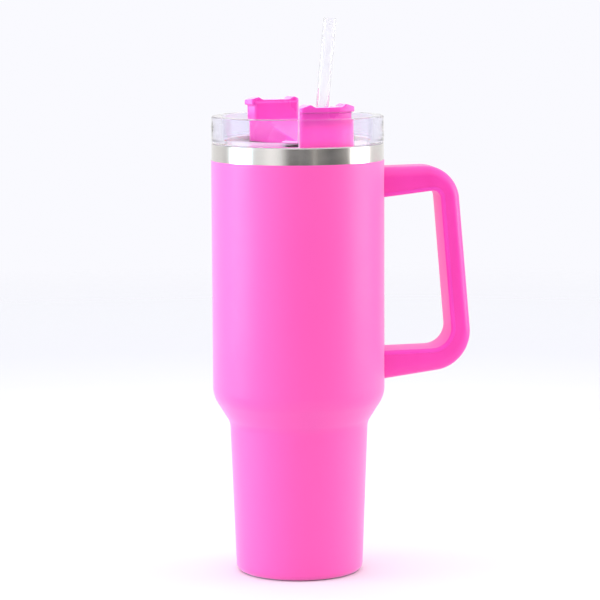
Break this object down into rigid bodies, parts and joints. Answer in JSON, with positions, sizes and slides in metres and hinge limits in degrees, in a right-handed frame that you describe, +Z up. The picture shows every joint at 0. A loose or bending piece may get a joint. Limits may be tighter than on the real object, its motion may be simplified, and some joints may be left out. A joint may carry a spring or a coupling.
{
  "type": "insulated tumbler with lid",
  "caption": "Tall insulated tumbler: coated steel vacuum cup tapered to fit a cup holder, side handle, clear screw-in lid with turning cover, and clear straw.",
  "frame": {"origin": "centre of the flat base, on the cup's axis", "axes": "+Z up along the cup's axis, +X from the axis towards the handle"},
  "size_m": [0.1473, 0.098, 0.3163],
  "materials": {
    "steel": "fine circular brushing",
    "coat": "satin powder coat, bright pink",
    "handle": "satin moulded plastic, bright pink",
    "cover": "satin moulded plastic, bright pink",
    "clear_plastic": "polished clear",
    "silicone": "soft matte, translucent white",
    "foil": "thin copper-coloured foil",
    "screws": "bright",
    "solder": "dull",
    "getter": "dull grey"
  },
  "bodies": {
    "cup": {"outer_shell": "steel", "powder_coat": "coat", "inner_liner": "steel", "outer_bottom": "steel", "base_cap": "steel", "vacuum_plug": "solder", "getter": "getter", "foil_wrap": "foil", "handle_frame": "handle", "handle_strip": "handle", "upper_bracket": "steel", "lower_bracket": "steel", "upper_screw": "screws", "lower_screw": "screws"},
    "lid_carrier": {"lid_gasket": "silicone"},
    "lid": {"lid_body": "clear_plastic"},
    "cover": {"rotating_cover": "cover", "drink_seal": "silicone", "hub_o_ring": "silicone", "pivot_screw": "screws", "pivot_washer": "steel", "straw_grommet": "silicone"},
    "straw": {"straw": "clear_plastic"}
  },
  "joints": [
    {"name": "lid_lift", "type": "slide", "parent": "cup", "child": "lid_carrier", "axis": [0, 0, 1], "range_m": [0, 0.0226]},
    {"name": "lid_turn", "type": "hinge", "parent": "lid_carrier", "child": "lid", "pos_m": [0, 0, 0.2454], "axis": [0, 0, 1], "range_deg": [0, 450]},
    {"name": "cover_turn", "type": "hinge", "parent": "lid", "child": "cover", "pos_m": [0, 0, 0.2427], "axis": [0, 0, 1], "range_deg": [-9, 9]},
    {"name": "straw_pull", "type": "slide", "parent": "cover", "child": "straw", "axis": [0.059, -0.1993, 0.9781], "range_m": [0, 0.275]}
  ],
  "couplings": [
    {"joint": "lid_lift", "follows": "lid_turn", "m_per_rad": 0.0028648}
  ]
}
